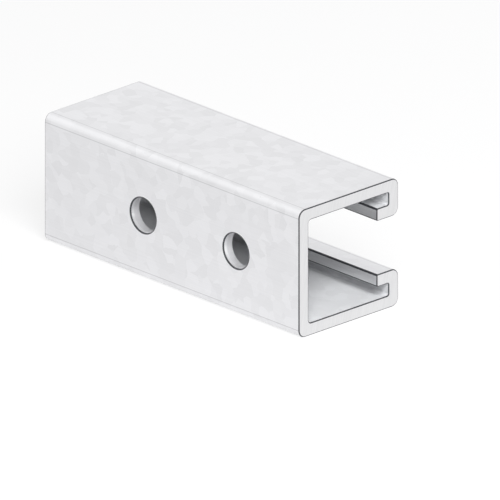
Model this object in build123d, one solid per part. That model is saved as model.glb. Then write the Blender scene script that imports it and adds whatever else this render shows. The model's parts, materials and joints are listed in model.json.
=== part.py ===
from build123d import *
import os

# Strut channel: one strip of steel, roll-formed to an open square section, punched and cut to length.
# Lengths are in millimetres. X runs along the channel, and its near cut end is the one at +X.
# The web stands at -Y, the slot opens towards +Y, and the channel lies on its lower flange.
# The origin is on the floor, under the middle of the channel.

# Section
SECTION_HEIGHT = 41.3  # over both flanges, the 1 5/8 in size of common strut
SECTION_DEPTH = 41.3  # from the outside of the web to the outside of the slot's faces
WALL = 4.0  # thickness of the strip
SLOT_FACE_HEIGHT = 12.0  # of each face beside the slot, which leaves a slot 17.3 wide between them
LIP_DEPTH = 8.9  # from the outside of a slot face to the tip of its lip
BEND_OUTER_RADIUS = 2.6  # of all six bends, which the last rolls press square
WEB_BEND_INNER_RADIUS = 1.2  # of the two bends between web and flanges
LIP_BEND_INNER_RADIUS = 0.6  # of the four bends that form the lips
STRIP_EDGE_RADIUS = 0.5  # rounding of the strip's slit edges, at the tips of the lips

# Length and cut ends
LENGTH = 111.0
CUT_EDGE_BREAK = 0.3  # bevel left by deburring the cut ends

# Holes punched through the web, from its outside
HOLE_DIAMETER = 11.1  # 7/16 in
HOLE_PITCH = 40.5
FIRST_HOLE_DISTANCE = 27.5  # from the near end to the first hole's centre
PUNCH_ROLLOVER = 0.4  # rounding where the punch went in, outside
PUNCH_BREAKOUT = 0.2  # bevel where the punch came out, inside


def upper_corners():
    """The sharp corners of the section's upper half, from the web round to its inside, with their radii."""
    web_y = -SECTION_DEPTH / 2
    face_y = SECTION_DEPTH / 2
    tip_y = face_y - LIP_DEPTH
    flange_z = SECTION_HEIGHT / 2
    lip_z = flange_z - SLOT_FACE_HEIGHT
    return [
        (web_y, flange_z, BEND_OUTER_RADIUS),
        (face_y, flange_z, BEND_OUTER_RADIUS),
        (face_y, lip_z, BEND_OUTER_RADIUS),
        (tip_y, lip_z, STRIP_EDGE_RADIUS),
        (tip_y, lip_z + WALL, STRIP_EDGE_RADIUS),
        (face_y - WALL, lip_z + WALL, LIP_BEND_INNER_RADIUS),
        (face_y - WALL, flange_z - WALL, LIP_BEND_INNER_RADIUS),
        (web_y + WALL, flange_z - WALL, WEB_BEND_INNER_RADIUS),
    ]


def strip_section(plane):
    """The strip's section on a plane, with its lower half the mirror image of the upper one."""
    upper = upper_corners()
    lower = [(y, -z, radius) for y, z, radius in reversed(upper)]
    points = [(y, z) for y, z, radius in upper + lower]
    radii = [radius for y, z, radius in upper + lower]
    with BuildSketch(plane) as section:
        with BuildLine():
            FilletPolyline(*points, radius=radii, close=True)
        make_face()
    return section.sketch


def cut_length():
    """The formed strip, from its far end to its near end, with every edge of both ends bevelled."""
    far_end = Plane((-LENGTH / 2, 0, SECTION_HEIGHT / 2), x_dir=(0, 1, 0), z_dir=(1, 0, 0))
    channel = extrude(strip_section(far_end), amount=LENGTH)
    edges = channel.edges().group_by(Axis.X)
    return chamfer(edges[0] + edges[-1], length=CUT_EDGE_BREAK)


def hole_distances():
    """Distances of the holes' centres from the near end, as many as the length has room for."""
    least_end_distance = HOLE_DIAMETER
    room = LENGTH - FIRST_HOLE_DISTANCE - least_end_distance
    count = 1 + int(room // HOLE_PITCH)
    return [FIRST_HOLE_DISTANCE + index * HOLE_PITCH for index in range(count)]


def with_punched_holes(channel):
    """The channel with its row of holes along the middle of the web, and the rims that a punch leaves."""
    near_end_of_web = Plane(
        (LENGTH / 2, -SECTION_DEPTH / 2, SECTION_HEIGHT / 2), x_dir=(1, 0, 0), z_dir=(0, -1, 0)
    )
    with BuildSketch(near_end_of_web) as holes:
        with Locations(*[(-distance, 0) for distance in hole_distances()]):
            Circle(HOLE_DIAMETER / 2)
    channel = channel - extrude(holes.sketch, amount=-WALL)
    rims = channel.edges().filter_by(GeomType.CIRCLE).filter_by(Plane.XZ).group_by(Axis.Y)
    channel = fillet(rims[0], radius=PUNCH_ROLLOVER)
    rims = channel.edges().filter_by(GeomType.CIRCLE).filter_by(Plane.XZ).group_by(Axis.Y)
    return chamfer(rims[-1], length=PUNCH_BREAKOUT)


strut_channel = with_punched_holes(cut_length())

os.makedirs("parts", exist_ok=True)
export_step(strut_channel, "parts/strut_channel.step")
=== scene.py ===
"""The finished look of one strut channel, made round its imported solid.

The strip is modelled again here the way the real one is made: folded from flat, given its thickness,
punched and deburred. That gives each surface its own finish: the coated faces, the sawn ends, the slit
edges, the punched walls, and the bare arrises between them.

Lengths are in metres. X runs along the channel, the web is at -Y, the slot opens to +Y and Z is up.
"""
import json
import logging
import math
from collections.abc import Callable, Iterable, Iterator
from contextlib import contextmanager
from dataclasses import dataclass, field
from enum import Enum, IntEnum
from typing import NamedTuple

import bmesh
import bpy
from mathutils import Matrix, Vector


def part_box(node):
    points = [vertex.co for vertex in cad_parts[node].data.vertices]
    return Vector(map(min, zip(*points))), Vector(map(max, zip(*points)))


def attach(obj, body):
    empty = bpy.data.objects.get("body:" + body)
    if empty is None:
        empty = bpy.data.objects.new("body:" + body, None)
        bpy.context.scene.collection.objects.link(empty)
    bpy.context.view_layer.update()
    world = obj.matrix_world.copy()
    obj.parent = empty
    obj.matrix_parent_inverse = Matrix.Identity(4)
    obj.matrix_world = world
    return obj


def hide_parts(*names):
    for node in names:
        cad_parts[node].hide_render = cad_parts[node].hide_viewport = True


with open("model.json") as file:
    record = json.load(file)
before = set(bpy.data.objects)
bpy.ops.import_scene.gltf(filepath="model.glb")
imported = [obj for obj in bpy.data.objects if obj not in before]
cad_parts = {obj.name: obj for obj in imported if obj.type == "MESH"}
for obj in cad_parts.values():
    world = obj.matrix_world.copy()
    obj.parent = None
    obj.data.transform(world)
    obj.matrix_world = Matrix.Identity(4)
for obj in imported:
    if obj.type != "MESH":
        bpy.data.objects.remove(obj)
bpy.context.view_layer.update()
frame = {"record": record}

MM = 0.001
RIGHT_ANGLE = math.pi / 2
WHITE = "#FFFFFF"
NODE = "strut_channel"
BODY = "root"
PIECE = "formed_strip"
# The piece's own map, on which the strip lies unrolled at its real size.
FLAT_MAP = "flat_strip"
LOG = logging.getLogger(NODE)


def linear_colour(hex_code: str) -> tuple[float, float, float, float]:
    """Turns an sRGB colour into the linear colour that a shader takes.

    Args:
        hex_code: the colour as "#rrggbb".

    Returns:
        Linear red, green and blue, and an alpha of one.
    """
    def to_linear(value: float) -> float:
        """One channel from sRGB to linear."""
        return value / 12.92 if value <= 0.04045 else ((value + 0.055) / 1.055) ** 2.4

    red, green, blue = (to_linear(int(hex_code[start:start + 2], 16) / 255) for start in (1, 3, 5))
    return red, green, blue, 1.0


def add_node(
    tree: bpy.types.NodeTree,
    kind: str,
    inputs: dict[str | int, object] | None = None,
    **settings: object,
) -> bpy.types.Node:
    """Adds one node with its settings, its values and its incoming links.

    Args:
        tree: the node tree that gets the node.
        kind: the node's type, without the leading "ShaderNode".
        inputs: for each input, by name or number, a value or another node's output.
        settings: the node's own properties.

    Returns:
        The new node.
    """
    node = tree.nodes.new(f"ShaderNode{kind}")
    for name, value in settings.items():
        setattr(node, name, value)
    for key, value in (inputs or {}).items():
        if isinstance(value, bpy.types.NodeSocket):
            tree.links.new(value, node.inputs[key])
        else:
            node.inputs[key].default_value = value
    return node


def empty_tree(owner: bpy.types.Material | bpy.types.World) -> bpy.types.NodeTree:
    """Gives a material or a world an empty node tree.

    Args:
        owner: the material or the world.

    Returns:
        Its node tree, with no node left in it.
    """
    owner.use_nodes = True
    owner.node_tree.nodes.clear()
    return owner.node_tree


def set_up(name: str, data: bpy.types.ID, place: Vector, direction: Vector) -> bpy.types.Object:
    """Puts a camera or a lamp in the scene, looking or shining one way.

    Args:
        name: the new object's name.
        data: the camera or the light itself.
        place: where it stands.
        direction: the way that it looks or shines.

    Returns:
        The new object.
    """
    made = bpy.data.objects.new(name, data)
    made.location = place
    made.rotation_mode = "QUATERNION"
    made.rotation_quaternion = direction.to_track_quat("-Z", "Y")
    bpy.context.scene.collection.objects.link(made)
    return made


def deselect_all() -> None:
    """Leaves nothing selected, so that an operator acts only on what is picked next."""
    bpy.ops.object.select_all(action="DESELECT")


def make_active(piece: bpy.types.Object) -> None:
    """Selects one object alone and makes it the active one.

    Args:
        piece: the object.
    """
    deselect_all()
    piece.select_set(True)
    bpy.context.view_layer.objects.active = piece


@contextmanager
def editing(piece: bpy.types.Object) -> Iterator[None]:
    """Edit mode on one object, for the length of a with block.

    Args:
        piece: the mesh object to edit.

    Yields:
        Nothing. The block calls mesh operators.
    """
    make_active(piece)
    bpy.ops.object.mode_set(mode="EDIT")
    yield
    bpy.ops.object.mode_set(mode="OBJECT")


class Axis(IntEnum):
    """The axes, by their place in a coordinate."""

    X = 0
    Y = 1
    Z = 2


class Element(Enum):
    """What is picked in edit mode, each with the name of the mesh's list of it."""

    EDGE = "edges"
    FACE = "faces"


def pick(
    piece: bpy.types.Object,
    element: Element,
    wanted: Callable[[bmesh.types.BMEdge | bmesh.types.BMFace], bool],
) -> None:
    """In edit mode, selects the edges or faces that pass a test and nothing else.

    Args:
        piece: the object in edit mode.
        element: whether edges or faces are picked.
        wanted: the test, given an edge or a face.
    """
    bpy.ops.mesh.select_mode(type=element.name)
    bpy.ops.mesh.select_all(action="DESELECT")
    mesh = bmesh.from_edit_mesh(piece.data)
    for part in getattr(mesh, element.value):
        if wanted(part):
            part.select_set(True)
    bmesh.update_edit_mesh(piece.data)


class Surface(IntEnum):
    """The channel's kinds of surface, in the order of its material slots."""

    COATED = 0
    COATED_INSIDE = 1
    SAWN = 2
    SLIT = 3
    SHORN = 4
    TORN = 5
    ARRIS = 6


class Grain(Enum):
    """The way that the tool marks of a cut surface run, as a turn about X from upright."""

    SAW = math.radians(12)
    ALONG_THE_STRIP = RIGHT_ANGLE


@dataclass(frozen=True)
class Finish:
    """A plain finish, metal unless it says otherwise, and the base of the others."""

    name: str
    colour: str
    roughness: float
    metallic: float = 1.0
    specular: float = 0.5

    def pattern(self, tree: bpy.types.NodeTree, shader: bpy.types.Node) -> None:
        """Adds the finish's own detail to the shader. The plain finish has none."""

    def material(self) -> bpy.types.Material:
        """Makes the finish's material.

        Returns:
            The material, with its shader set and its pattern linked.
        """
        made = bpy.data.materials.new(self.name)
        tree = empty_tree(made)
        shader = add_node(tree, "BsdfPrincipled", {
            "Base Color": linear_colour(self.colour),
            "Metallic": self.metallic,
            "Roughness": self.roughness,
            "Specular IOR Level": self.specular,
        })
        add_node(tree, "OutputMaterial", {"Surface": shader.outputs["BSDF"]})
        self.pattern(tree, shader)
        return made


@dataclass(frozen=True)
class HotDipZinc(Finish):
    """Hot-dip zinc on steel strip, roll-formed: pale satin grey with faint crystals and roll streaks.

    Molten zinc sets in flat crystals a few millimetres across, so neighbouring patches have a slightly
    different grey and gloss. The rolls leave fine streaks along the strip, and a faint burnished line
    where each bend starts and ends.
    """

    name: str = "hot_dip_zinc_roll_formed"
    colour: str = "#E7E7E9"
    roughness: float = 0.42
    crystal_size: float = 3.5 * MM
    # Crystals that grow together have crooked borders, which wander by this share of their size.
    crystal_warp: float = 0.6
    # How far from the mean a crystal can be: its grey, as a share, and its roughness.
    crystal_contrast: float = 0.045
    gloss_contrast: float = 0.05
    # Real streaks lie about 0.1 mm apart. They are drawn coarser, or the picture would not show them.
    streak_spacing: float = 0.5 * MM
    streak_length: float = 70 * MM
    streak_contrast: float = 0.03
    # The real coating's grain is a tenth of this, and is drawn coarser for the same reason.
    grain_size: float = 0.35 * MM
    relief_strength: float = 0.12
    relief_height: float = 0.02 * MM
    # How far from the web's middle the lines lie, across the flat strip.
    bend_lines: tuple[float, ...] = ()
    bend_line_width: float = 0.5 * MM
    bend_line_depth: float = 0.25

    def crystals(self, tree: bpy.types.NodeTree) -> bpy.types.NodeSocket:
        """One random value for each zinc crystal.

        Args:
            tree: the material's node tree.

        Returns:
            A value from nought to one, the same all over a crystal.
        """
        place = add_node(tree, "TexCoord")
        warp = add_node(tree, "TexNoise", {
            "Vector": place.outputs["Object"],
            "Scale": 1 / self.crystal_size,
            "Detail": 2.0,
        })
        bent = add_node(tree, "VectorMath", {
            0: warp.outputs["Color"],
            1: (self.crystal_size * self.crystal_warp,) * 3,
            2: place.outputs["Object"],
        }, operation="MULTIPLY_ADD")
        cells = add_node(tree, "TexVoronoi", {
            "Vector": bent.outputs["Vector"],
            "Scale": 1 / self.crystal_size,
        })
        return add_node(tree, "SeparateColor", {0: cells.outputs["Color"]}).outputs["Red"]

    def streaks(self, tree: bpy.types.NodeTree) -> bpy.types.NodeSocket:
        """The fine lengthwise streaks that the forming rolls leave.

        Args:
            tree: the material's node tree.

        Returns:
            A value about a half, which varies quickly across the strip and slowly along it.
        """
        place = add_node(tree, "UVMap", uv_map=FLAT_MAP)
        stretched = add_node(tree, "Mapping", {
            "Vector": place.outputs["UV"],
            "Scale": (1 / self.streak_spacing, 1 / self.streak_length, 1.0),
        })
        return add_node(tree, "TexNoise", {
            "Vector": stretched.outputs["Vector"],
            "Scale": 1.0,
            "Detail": 3.0,
            "Roughness": 0.6,
        }, noise_dimensions="2D").outputs["Fac"]

    def lines(self, tree: bpy.types.NodeTree) -> bpy.types.NodeSocket:
        """The burnished lines at the two sides of each bend.

        Args:
            tree: the material's node tree.

        Returns:
            One on the middle of a line, falling to nought at its sides.
        """
        place = add_node(tree, "UVMap", uv_map=FLAT_MAP)
        across = add_node(tree, "SeparateXYZ", {0: place.outputs["UV"]}).outputs["X"]
        across = add_node(tree, "Math", {0: across}, operation="ABSOLUTE").outputs[0]
        total: bpy.types.NodeSocket | float = 0.0
        for distance in self.bend_lines:
            away = add_node(tree, "Math", {0: across, 1: distance}, operation="SUBTRACT").outputs[0]
            away = add_node(tree, "Math", {0: away}, operation="ABSOLUTE").outputs[0]
            line = add_node(tree, "MapRange", {
                "Value": away,
                "From Min": 0.0,
                "From Max": self.bend_line_width / 2,
                "To Min": 1.0,
                "To Max": 0.0,
            }, interpolation_type="SMOOTHSTEP").outputs[0]
            total = add_node(tree, "Math", {0: total, 1: line}, operation="MAXIMUM").outputs[0]
        return total

    def pattern(self, tree: bpy.types.NodeTree, shader: bpy.types.Node) -> None:
        """Links the crystals, streaks and bend lines to the shader.

        Args:
            tree: the material's node tree.
            shader: its principled shader.
        """
        crystal, streak, line = self.crystals(tree), self.streaks(tree), self.lines(tree)
        patches = add_node(tree, "MapRange", {
            "Value": crystal,
            "To Min": 1 - self.crystal_contrast,
            "To Max": 1 + self.crystal_contrast,
        }).outputs[0]
        streaked = add_node(tree, "MapRange", {
            "Value": streak,
            "To Min": 1 - self.streak_contrast,
            "To Max": 1 + self.streak_contrast,
        }).outputs[0]
        lined = add_node(tree, "MapRange", {
            "Value": line,
            "To Min": 1.0,
            "To Max": 1 - self.bend_line_depth,
        }).outputs[0]
        tone = add_node(tree, "Math", {0: patches, 1: streaked}, operation="MULTIPLY").outputs[0]
        tone = add_node(tree, "Math", {0: tone, 1: lined}, operation="MULTIPLY").outputs[0]
        colour = add_node(tree, "VectorMath", {
            0: linear_colour(self.colour)[:3],
            "Scale": tone,
        }, operation="SCALE").outputs["Vector"]
        tree.links.new(colour, shader.inputs["Base Color"])
        gloss = add_node(tree, "MapRange", {
            "Value": crystal,
            "To Min": self.roughness - self.gloss_contrast,
            "To Max": self.roughness + self.gloss_contrast,
        }).outputs[0]
        tree.links.new(gloss, shader.inputs["Roughness"])
        place = add_node(tree, "TexCoord")
        grain = add_node(tree, "TexNoise", {
            "Vector": place.outputs["Object"],
            "Scale": 1 / self.grain_size,
            "Detail": 2.0,
        })
        height = add_node(tree, "Math", {
            0: streak,
            1: grain.outputs["Fac"],
        }, operation="ADD").outputs[0]
        bump = add_node(tree, "Bump", {
            "Strength": self.relief_strength,
            "Distance": self.relief_height,
            "Height": height,
        })
        tree.links.new(bump.outputs["Normal"], shader.inputs["Normal"])


@dataclass(frozen=True)
class CutSteel(Finish):
    """Bare mild steel at a cut: satin grey, with the tool's marks as fine parallel scratches.

    A saw's marks run nearly upright across the end, leaning as the blade did. A slitter's run along
    the strip.
    """

    name: str = "mild_steel_sawn"
    colour: str = "#E5E5E6"
    roughness: float = 0.38
    grain: Grain = Grain.SAW
    # A fine blade's marks lie 0.1 to 0.2 mm apart, and are drawn coarser so that they show.
    mark_spacing: float = 0.35 * MM
    mark_length: float = 12 * MM
    mark_contrast: float = 0.11
    relief_strength: float = 0.25
    relief_height: float = 0.03 * MM

    def pattern(self, tree: bpy.types.NodeTree, shader: bpy.types.Node) -> None:
        """Links the tool marks to the shader's colour and normal.

        Args:
            tree: the material's node tree.
            shader: its principled shader.
        """
        place = add_node(tree, "TexCoord")
        turned = add_node(tree, "Mapping", {
            "Vector": place.outputs["Object"],
            "Rotation": (self.grain.value, 0.0, 0.0),
        })
        stretched = add_node(tree, "Mapping", {
            "Vector": turned.outputs["Vector"],
            "Scale": (1 / self.mark_length, 1 / self.mark_spacing, 1 / self.mark_length),
        })
        marks = add_node(tree, "TexNoise", {
            "Vector": stretched.outputs["Vector"],
            "Scale": 1.0,
            "Detail": 4.0,
            "Roughness": 0.65,
        }).outputs["Fac"]
        tone = add_node(tree, "MapRange", {
            "Value": marks,
            "To Min": 1 - self.mark_contrast,
            "To Max": 1 + self.mark_contrast,
        }).outputs[0]
        colour = add_node(tree, "VectorMath", {
            0: linear_colour(self.colour)[:3],
            "Scale": tone,
        }, operation="SCALE").outputs["Vector"]
        tree.links.new(colour, shader.inputs["Base Color"])
        bump = add_node(tree, "Bump", {
            "Strength": self.relief_strength,
            "Distance": self.relief_height,
            "Height": marks,
        })
        tree.links.new(bump.outputs["Normal"], shader.inputs["Normal"])


class Ring(NamedTuple):
    """One ring of a hole's profile, and the surface of the band between it and the ring before."""

    depth: float
    radius: float
    surface: Surface


@dataclass(frozen=True)
class Hole:
    """One hole of the web, with the shape that a punch leaves.

    The punch draws the outer rim in, shears the first part of the wall smooth, and tears the rest a
    little wider.
    """

    x: float
    z: float
    radius: float
    rollover: float = 0.4 * MM
    shorn_depth: float = 1.5 * MM
    torn_step: float = 0.05 * MM
    torn_widening: float = 0.15 * MM
    breakout: float = 0.2 * MM
    sides: int = 96
    rollover_steps: int = 4

    def rings(self, wall: float) -> list[Ring]:
        """The hole's profile.

        Args:
            wall: the web's thickness.

        Returns:
            Its rings, from the outside of the web to the inside.
        """
        found = [Ring(0.0, self.radius + self.rollover, Surface.COATED)]
        for step in range(1, self.rollover_steps + 1):
            turn = RIGHT_ANGLE * step / self.rollover_steps
            depth = self.rollover * (1 - math.cos(turn))
            radius = self.radius + self.rollover * (1 - math.sin(turn))
            found.append(Ring(depth, radius, Surface.ARRIS))
        torn_radius = self.radius + self.torn_widening
        return [
            *found,
            Ring(self.shorn_depth, self.radius, Surface.SHORN),
            Ring(self.shorn_depth + self.torn_step, self.radius + self.torn_step, Surface.TORN),
            Ring(wall - self.breakout, torn_radius, Surface.TORN),
            Ring(wall, torn_radius + self.breakout, Surface.ARRIS),
        ]

    def cutter(
        self,
        outside: float,
        wall: float,
        materials: Iterable[bpy.types.Material],
    ) -> bpy.types.Object:
        """Models the solid that the hole takes out of the web, ring by ring.

        Args:
            outside: where the web's outer face is on Y.
            wall: the web's thickness.
            materials: the channel's materials, in the order of Surface.

        Returns:
            The closed cutter, with each of its faces in the slot that the hole's wall takes over.
        """
        # The cutter stands out on both sides of the web, so that no face of it lies in one of the web's.
        stand_out = wall / 2
        profile = self.rings(wall)
        rings = [
            Ring(-stand_out, profile[0].radius, Surface.COATED),
            *profile,
            Ring(wall + stand_out, profile[-1].radius, Surface.COATED),
        ]
        deselect_all()
        bpy.ops.mesh.primitive_circle_add(
            vertices=self.sides,
            radius=rings[0].radius,
            fill_type="NGON",
            location=(self.x, outside + rings[0].depth, self.z),
            rotation=(RIGHT_ANGLE, 0, 0),
        )
        tool = bpy.context.object
        bpy.ops.object.transform_apply(location=True, rotation=True, scale=True)
        for material in materials:
            tool.data.materials.append(material)
        with editing(tool):
            bpy.ops.mesh.select_all(action="SELECT")
            for before, ring in zip(rings, rings[1:]):
                bpy.ops.mesh.extrude_region_move(
                    TRANSFORM_OT_translate={"value": (0, ring.depth - before.depth, 0)}
                )
                growth = ring.radius / before.radius
                bpy.ops.transform.resize(
                    value=(growth, 1, growth),
                    center_override=(self.x, outside + ring.depth, self.z),
                )
            bpy.ops.mesh.select_all(action="SELECT")
            bpy.ops.mesh.normals_make_consistent(inside=False)
        self.mark_rings(tool, outside, rings)
        return tool

    def mark_rings(self, tool: bpy.types.Object, outside: float, rings: list[Ring]) -> None:
        """Puts each band of the cutter in the slot of the surface that it cuts.

        Args:
            tool: the cutter.
            outside: where the web's outer face is on Y.
            rings: the cutter's rings, in the order of their depths.
        """
        for face in tool.data.polygons:
            depth = face.center.y - outside
            for before, ring in zip(rings, rings[1:]):
                if before.depth < depth < ring.depth:
                    face.material_index = ring.surface


@dataclass
class FormedStrip:
    """The channel itself: one steel strip, roll-formed, punched and cut to length.

    It has the solid's own sizes and stands in its place. The solid's mesh has one finish and no map,
    while here the zinc follows the bends, and each cut and each darkened edge has its own finish.
    """

    # The lowest and the highest corner of the solid's box.
    low: Vector
    high: Vector
    holes: list[Hole]
    wall: float = 4.0 * MM
    slot_face_height: float = 12.0 * MM
    lip_depth: float = 8.9 * MM
    bend_outer_radius: float = 2.6 * MM
    web_bend_inner_radius: float = 1.2 * MM
    lip_bend_inner_radius: float = 0.6 * MM
    strip_edge_radius: float = 0.5 * MM
    end_bevel: float = 0.3 * MM
    bend_steps: int = 12
    arris_steps: int = 3
    # Just over the 30 degrees between two facets of an arris, so that each arris is shaded as a curve.
    smooth_angle: float = math.radians(32)
    tolerance: float = 0.01 * MM
    # Places are compared to a tenth of a micrometre when the mesh is put in order.
    order_digits: int = 7
    piece: bpy.types.Object | None = field(init=False, default=None)

    @property
    def length(self) -> float:
        """The channel's length."""
        return self.high.x - self.low.x

    @property
    def middle(self) -> Vector:
        """The middle of the channel's box."""
        return (self.low + self.high) / 2

    @property
    def tip_y(self) -> float:
        """Where the lips end."""
        return self.high.y - self.lip_depth

    def runs(self) -> list[Vector]:
        """The flats that follow the web on the strip's outside, for the upper half.

        Returns:
            The way from each sharp corner to the next: across the flange, the slot face and the lip.
        """
        return [
            Vector((0, self.high.y - self.low.y, 0)),
            Vector((0, 0, -self.slot_face_height)),
            Vector((0, -self.lip_depth, 0)),
        ]

    def corners(self) -> list[tuple[float, float, float]]:
        """The sharp corners of the section's upper half, from the web round to its inside.

        Returns:
            For each corner its place on Y and on Z, and the radius that it is rounded to.
        """
        web, face, tip = self.low.y, self.high.y, self.tip_y
        flange, lip = self.high.z, self.high.z - self.slot_face_height
        return [
            (web, flange, self.bend_outer_radius),
            (face, flange, self.bend_outer_radius),
            (face, lip, self.bend_outer_radius),
            (tip, lip, self.strip_edge_radius),
            (tip, lip + self.wall, self.strip_edge_radius),
            (face - self.wall, lip + self.wall, self.lip_bend_inner_radius),
            (face - self.wall, flange - self.wall, self.lip_bend_inner_radius),
            (web + self.wall, flange - self.wall, self.web_bend_inner_radius),
        ]

    def bend_lines(self) -> tuple[float, ...]:
        """Finds where each outer bend of the upper half starts and ends.

        Returns:
            Distances from the web's middle, across the flat strip.
        """
        crease = (self.high.z - self.low.z) / 2
        found = []
        for run in self.runs():
            found += [crease - self.bend_outer_radius, crease + self.bend_outer_radius]
            crease += run.length
        return tuple(found)

    def lies_at(self, part: bmesh.types.BMEdge | bmesh.types.BMFace, axis: Axis, place: float) -> bool:
        """Says whether every corner of an edge or face is at one place on an axis."""
        return all(abs(corner.co[axis] - place) < self.tolerance for corner in part.verts)

    def is_at_an_end(self, part: bmesh.types.BMEdge | bmesh.types.BMFace) -> bool:
        """Says whether an edge or face lies in the plane of one of the sawn ends."""
        return self.lies_at(part, Axis.X, self.low.x) or self.lies_at(part, Axis.X, self.high.x)

    def runs_along(self, edge: bmesh.types.BMEdge, y: float, z: float) -> bool:
        """Says whether an edge runs the channel's length at a corner, or at the corner's mirror image.

        Args:
            edge: the edge.
            y: the corner's place on Y.
            z: the corner's place on Z, in the upper half.

        Returns:
            Whether it does.
        """
        first, second = (corner.co for corner in edge.verts)
        mirrored_z = 2 * self.middle.z - z
        return (
            abs(first.x - second.x) > self.length - self.tolerance
            and self.lies_at(edge, Axis.Y, y)
            and (self.lies_at(edge, Axis.Z, z) or self.lies_at(edge, Axis.Z, mirrored_z))
        )

    def apply(self, modifier: bpy.types.Modifier) -> None:
        """Applies one modifier to the strip."""
        make_active(self.piece)
        bpy.ops.object.modifier_apply(modifier=modifier.name)

    def fold(self) -> None:
        """Models the strip's outer skin: the web, and each flange, slot face and lip folded from it."""
        deselect_all()
        bpy.ops.mesh.primitive_plane_add(
            size=1,
            location=(self.middle.x, self.low.y, self.middle.z),
            rotation=(RIGHT_ANGLE, 0, 0),
        )
        self.piece = bpy.context.object
        self.piece.name = self.piece.data.name = PIECE
        self.piece.scale = (self.length, self.high.z - self.low.z, 1)
        bpy.ops.object.transform_apply(location=True, rotation=True, scale=True)
        with editing(self.piece):
            for edge_z, side in ((self.high.z, 1), (self.low.z, -1)):
                pick(self.piece, Element.EDGE, lambda edge: self.lies_at(edge, Axis.Z, edge_z))
                for run in self.runs():
                    step = (0, run.y, side * run.z)
                    bpy.ops.mesh.extrude_region_move(TRANSFORM_OT_translate={"value": step})
            bpy.ops.mesh.select_all(action="SELECT")
            bpy.ops.mesh.normals_make_consistent(inside=False)
            skin = bmesh.from_edit_mesh(self.piece.data)
            web = min(skin.faces, key=lambda face: face.calc_center_median().y)
            if web.normal.y > 0:
                bpy.ops.mesh.flip_normals()

    def map_flat(self) -> None:
        """Gives the strip a map of its flat blank, at real size: across it, then along it."""
        rows = [((self.high.z - self.low.z) / 2, Vector((0, self.low.y, self.high.z)))]
        for run in self.runs():
            distance, place = rows[-1]
            rows.append((distance + run.length, place + run))
        layer = self.piece.data.uv_layers.new(name=FLAT_MAP)
        for corner in self.piece.data.loops:
            place = self.piece.data.vertices[corner.vertex_index].co
            rise = place.z - self.middle.z
            upper = Vector((0, place.y, self.middle.z + abs(rise)))
            distance = min(rows, key=lambda row: (row[1] - upper).length)[0]
            layer.data[corner.index].uv = (math.copysign(distance, rise), place.x)

    def thicken(self) -> None:
        """Gives the strip its thickness, inwards from its skin, and marks the surfaces that this makes."""
        shell = self.piece.modifiers.new("thickness", "SOLIDIFY")
        shell.thickness = self.wall
        shell.offset = -1.0
        shell.use_even_offset = True
        shell.material_offset = Surface.COATED_INSIDE
        self.apply(shell)
        with editing(self.piece):
            pick(self.piece, Element.FACE, lambda face: self.lies_at(face, Axis.Y, self.tip_y))
            self.piece.active_material_index = Surface.SLIT
            bpy.ops.object.material_slot_assign()

    def round_corners(self) -> None:
        """Rounds the bends, outside and in, and takes the sharpness off the slit edges."""
        for y, z, radius in self.corners():
            is_bend = y != self.tip_y
            with editing(self.piece):
                pick(self.piece, Element.EDGE, lambda edge: self.runs_along(edge, y, z))
                bpy.ops.mesh.bevel(
                    offset=radius,
                    segments=self.bend_steps if is_bend else self.arris_steps,
                    affect="EDGES",
                    clamp_overlap=False,
                    material=-1 if is_bend else Surface.ARRIS,
                )

    def deburr_ends(self) -> None:
        """Makes each sawn end one face, and takes the sharpness off its edges."""
        with editing(self.piece):
            pick(self.piece, Element.FACE, self.is_at_an_end)
            bpy.ops.mesh.dissolve_faces()
            self.piece.active_material_index = Surface.SAWN
            bpy.ops.object.material_slot_assign()
            pick(self.piece, Element.EDGE, self.is_at_an_end)
            bpy.ops.mesh.bevel(
                offset=self.end_bevel,
                segments=self.arris_steps,
                affect="EDGES",
                clamp_overlap=False,
                material=Surface.ARRIS,
            )

    def punch(self, hole: Hole) -> None:
        """Punches one hole through the web.

        Args:
            hole: the hole to punch.
        """
        tool = hole.cutter(self.low.y, self.wall, self.piece.data.materials)
        cut = self.piece.modifiers.new("punch", "BOOLEAN")
        cut.operation = "DIFFERENCE"
        cut.solver = "EXACT"
        cut.object = tool
        self.apply(cut)
        bpy.data.objects.remove(tool)

    def put_in_order(self) -> None:
        """Puts the mesh's vertices, edges and faces in the order of their places.

        Punching leaves those round a hole in another order on each run, and this makes every run alike.
        """
        with editing(self.piece):
            mesh = bmesh.from_edit_mesh(self.piece.data)
            for parts, place in (
                (mesh.verts, lambda vertex: vertex.co),
                (mesh.edges, lambda edge: edge.verts[0].co + edge.verts[1].co),
                (mesh.faces, lambda face: face.calc_center_median()),
            ):
                ordered = sorted(parts, key=lambda part: [round(x, self.order_digits) for x in place(part)])
                ranks = {part: rank for rank, part in enumerate(ordered)}
                parts.sort(key=lambda part: ranks[part])
            bmesh.update_edit_mesh(self.piece.data)

    def smooth(self) -> None:
        """Shades the bends and rims as curves, and keeps the flats flat."""
        make_active(self.piece)
        bpy.ops.object.shade_smooth_by_angle(angle=self.smooth_angle)
        weights = self.piece.modifiers.new("flat_faces_lead", "WEIGHTED_NORMAL")
        weights.keep_sharp = True
        self.apply(weights)

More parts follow.
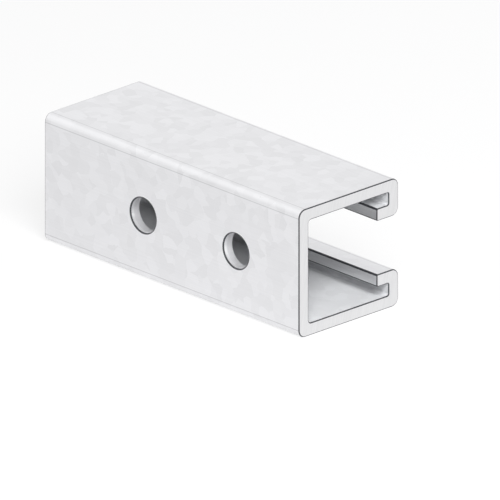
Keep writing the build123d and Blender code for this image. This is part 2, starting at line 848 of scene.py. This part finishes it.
    def dress(self) -> None:
        """Gives the strip the material of each of its kinds of surface, in the order of Surface."""
        bend_lines = self.bend_lines()
        finishes = {
            Surface.COATED: HotDipZinc(bend_lines=bend_lines),
            # The inside is the same zinc, given a darker, dull copy of the finish, which isn't metal and
            # hardly
            # mirrors anything: painted shade, so that the inside of the channel and its holes look dark.
            Surface.COATED_INSIDE: HotDipZinc(
                name="hot_dip_zinc_chalky",
                colour="#CACBCD",
                roughness=0.55,
                metallic=0.0,
                specular=0.15,
                bend_lines=bend_lines,
            ),
            Surface.SAWN: CutSteel(),
            # The strip's slit edges are the tips of the lips, with marks that run along them.
            Surface.SLIT: CutSteel(name="mild_steel_slit", grain=Grain.ALONG_THE_STRIP),
            # The punch shears the first of the wall smooth, and smears it pale with zinc.
            Surface.SHORN: CutSteel(
                name="mild_steel_shorn",
                colour="#DFDFE1",
                roughness=0.3,
                metallic=0.5,
                mark_contrast=0.04,
            ),
            # Then the slug tears away, which leaves short, rough marks on a duller wall.
            Surface.TORN: CutSteel(
                name="mild_steel_torn",
                colour="#D6D6D8",
                roughness=0.6,
                metallic=0.5,
                mark_length=0.8 * MM,
            ),
            # The coating is lost from each sharp edge, and the bare steel darkens to a thin line.
            Surface.ARRIS: Finish("mild_steel_darkened_edge", "#5C5D61", 0.5),
        }
        for surface in Surface:
            self.piece.data.materials.append(finishes[surface].material())

    def build(self) -> bpy.types.Object:
        """Makes the whole channel, from the flat strip to the deburred and coated piece.

        Returns:
            The finished object, riding on its body in place of the solid.
        """
        self.fold()
        self.map_flat()
        self.dress()
        self.thicken()
        self.round_corners()
        self.deburr_ends()
        for hole in self.holes:
            self.punch(hole)
        self.put_in_order()
        self.smooth()
        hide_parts(NODE)
        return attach(self.piece, BODY)


def holes_of(record: dict) -> list[Hole]:
    """Reads the web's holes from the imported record.

    Args:
        record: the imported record.

    Returns:
        The holes, from the far end to the near end.
    """
    row = next(mount for mount in record["mounts"] if mount["name"] == "web_holes")
    count, pitch = row["dims"]["count"], row["dims"]["spacing_x_mm"] * MM
    first_x = row["pos_m"][0] - (count - 1) / 2 * pitch
    radius = row["dims"]["hole_r_mm"] * MM
    return [Hole(first_x + index * pitch, row["pos_m"][2], radius) for index in range(count)]


@dataclass
class CatalogueCamera:
    """A camera with no perspective, at the angle and scale of the reference picture."""

    # The near end's height and width in the picture, and the way that the length runs there, fix both
    # angles and the scale.
    azimuth: float = math.radians(46.38)
    elevation: float = math.radians(21.45)
    pixels_per_metre: float = 3321.9
    frame_pixels: float = 500.0
    # Where the near foot of the web stands in the frame, from its upper left corner.
    corner_pixel: tuple[float, float] = (299.0, 339.2)
    distance: float = 0.5

    def build(self, corner: Vector) -> bpy.types.Object:
        """Places the camera so that the near foot of the web falls on its pixel.

        Args:
            corner: the lowest corner of the web at the near end.

        Returns:
            The scene's camera.
        """
        right = Vector((math.cos(self.azimuth), math.sin(self.azimuth), 0))
        back = Vector((
            math.sin(self.azimuth) * math.cos(self.elevation),
            -math.cos(self.azimuth) * math.cos(self.elevation),
            math.sin(self.elevation),
        ))
        up = back.cross(right)
        middle = self.frame_pixels / 2
        across = (middle - self.corner_pixel[0]) / self.pixels_per_metre
        rise = (self.corner_pixel[1] - middle) / self.pixels_per_metre
        place = corner + right * across + up * rise + back * self.distance
        camera = set_up("catalogue_camera", bpy.data.cameras.new("catalogue_camera"), place, -back)
        camera.data.type = "ORTHO"
        camera.data.ortho_scale = self.frame_pixels / self.pixels_per_metre
        bpy.context.scene.camera = camera
        return camera


@dataclass(frozen=True)
class SoftLamp:
    """One large square lamp, aimed at the channel.

    A lamp that doesn't show in metal lights the dull surfaces and the floor alone, so that no flat of
    the coated outside mirrors it as a white patch.
    """

    name: str
    place: Vector
    size: float
    power: float
    shows_in_metal: bool

    def build(self, target: Vector) -> bpy.types.Object:
        """Hangs the lamp.

        Args:
            target: the point that it is aimed at.

        Returns:
            The lamp.
        """
        light = bpy.data.lights.new(self.name, "AREA")
        light.size = self.size
        light.energy = self.power
        lamp = set_up(self.name, light, self.place, target - self.place)
        lamp.visible_glossy = self.shows_in_metal
        return lamp


@dataclass
class Studio:
    """A white floor and soft, even light.

    The key lamp shines in at the near end, the bend lamp gives the web's bends their soft gleam, and
    the low slot lamp shines in between the lips.
    """

    floor_size: float = 6.0
    floor_colour: str = "#FBFBFC"
    # Where the floor is seen, this share of it is plain white, and the rest is paper with its shadow.
    floor_glow: float = 0.8
    sky_strength: float = 0.15
    lamps: tuple[SoftLamp, ...] = (
        SoftLamp("key_lamp", Vector((0.62, -0.4, 0.68)), size=0.6, power=14.0, shows_in_metal=False),
        SoftLamp("bend_lamp", Vector((-0.7, -0.35, 0.7)), size=0.9, power=0.5, shows_in_metal=True),
        SoftLamp("slot_lamp", Vector((0.1, 0.9, 0.3)), size=0.5, power=3.0, shows_in_metal=False),
    )

    def seen_directly(self, tree: bpy.types.NodeTree) -> bpy.types.NodeSocket:
        """Tells the rays that show a surface from those that only carry its light.

        Args:
            tree: the node tree of the floor's material or of the sky.

        Returns:
            One for rays from the camera or from a glossy or clear surface, and nought for the rest.
        """
        rays = add_node(tree, "LightPath")
        seen = add_node(tree, "Math", {
            0: rays.outputs["Is Camera Ray"],
            1: rays.outputs["Is Glossy Ray"],
        }, operation="MAXIMUM").outputs[0]
        return add_node(tree, "Math", {
            0: seen,
            1: rays.outputs["Is Transmission Ray"],
        }, operation="MAXIMUM").outputs[0]

    def floor_material(self) -> bpy.types.Material:
        """Matt white paper that looks white where it is seen, and still takes the shadow.

        Returns:
            The floor's material.
        """
        made = bpy.data.materials.new("white_paper")
        tree = empty_tree(made)
        paper = add_node(tree, "BsdfDiffuse", {"Color": linear_colour(self.floor_colour)})
        glow = add_node(tree, "Emission", {"Color": linear_colour(WHITE), "Strength": 1.0})
        share = add_node(tree, "Math", {
            0: self.seen_directly(tree),
            1: self.floor_glow,
        }, operation="MULTIPLY")
        mixed = add_node(tree, "MixShader", {
            0: share.outputs[0],
            1: paper.outputs[0],
            2: glow.outputs[0],
        })
        add_node(tree, "OutputMaterial", {"Surface": mixed.outputs[0]})
        return made

    def build_floor(self, height: float) -> bpy.types.Object:
        """Lays the floor that the channel lies on.

        Args:
            height: where the floor is on Z.

        Returns:
            The floor.
        """
        deselect_all()
        bpy.ops.mesh.primitive_plane_add(size=self.floor_size, location=(0, 0, height))
        floor = bpy.context.object
        floor.name = "floor"
        bpy.ops.object.transform_apply(location=True, rotation=True, scale=True)
        floor.data.materials.append(self.floor_material())
        return floor

    def build_sky(self) -> bpy.types.World:
        """Sets an even sky, which is white where it is seen and dimmer where it only lights.

        Returns:
            The scene's world.
        """
        world = bpy.data.worlds.new("studio")
        tree = empty_tree(world)
        strength = add_node(tree, "MapRange", {
            "Value": self.seen_directly(tree),
            "To Min": self.sky_strength,
            "To Max": 1.0,
        })
        sky = add_node(tree, "Background", {
            "Color": linear_colour(WHITE),
            "Strength": strength.outputs[0],
        })
        add_node(tree, "OutputWorld", {"Surface": sky.outputs[0]})
        bpy.context.scene.world = world
        return world


def main() -> None:
    """Builds the camera, the channel and the studio, and notes the sizes."""
    logging.basicConfig(level=logging.INFO, format="%(name)s: %(message)s")
    low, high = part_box(NODE)
    CatalogueCamera().build(Vector((high.x, low.y, low.z)))
    strip = FormedStrip(low, high, holes_of(frame["record"])).build()
    LOG.info("%s: %d faces", strip.name, len(strip.data.polygons))
    studio = Studio()
    floor = studio.build_floor(low.z)
    LOG.info("%s: %.1f m square", floor.name, studio.floor_size)
    studio.build_sky()
    for lamp in studio.lamps:
        lamp.build((low + high) / 2)
    bpy.context.scene.view_settings.view_transform = "Standard"


if __name__ == "__main__":
    main()
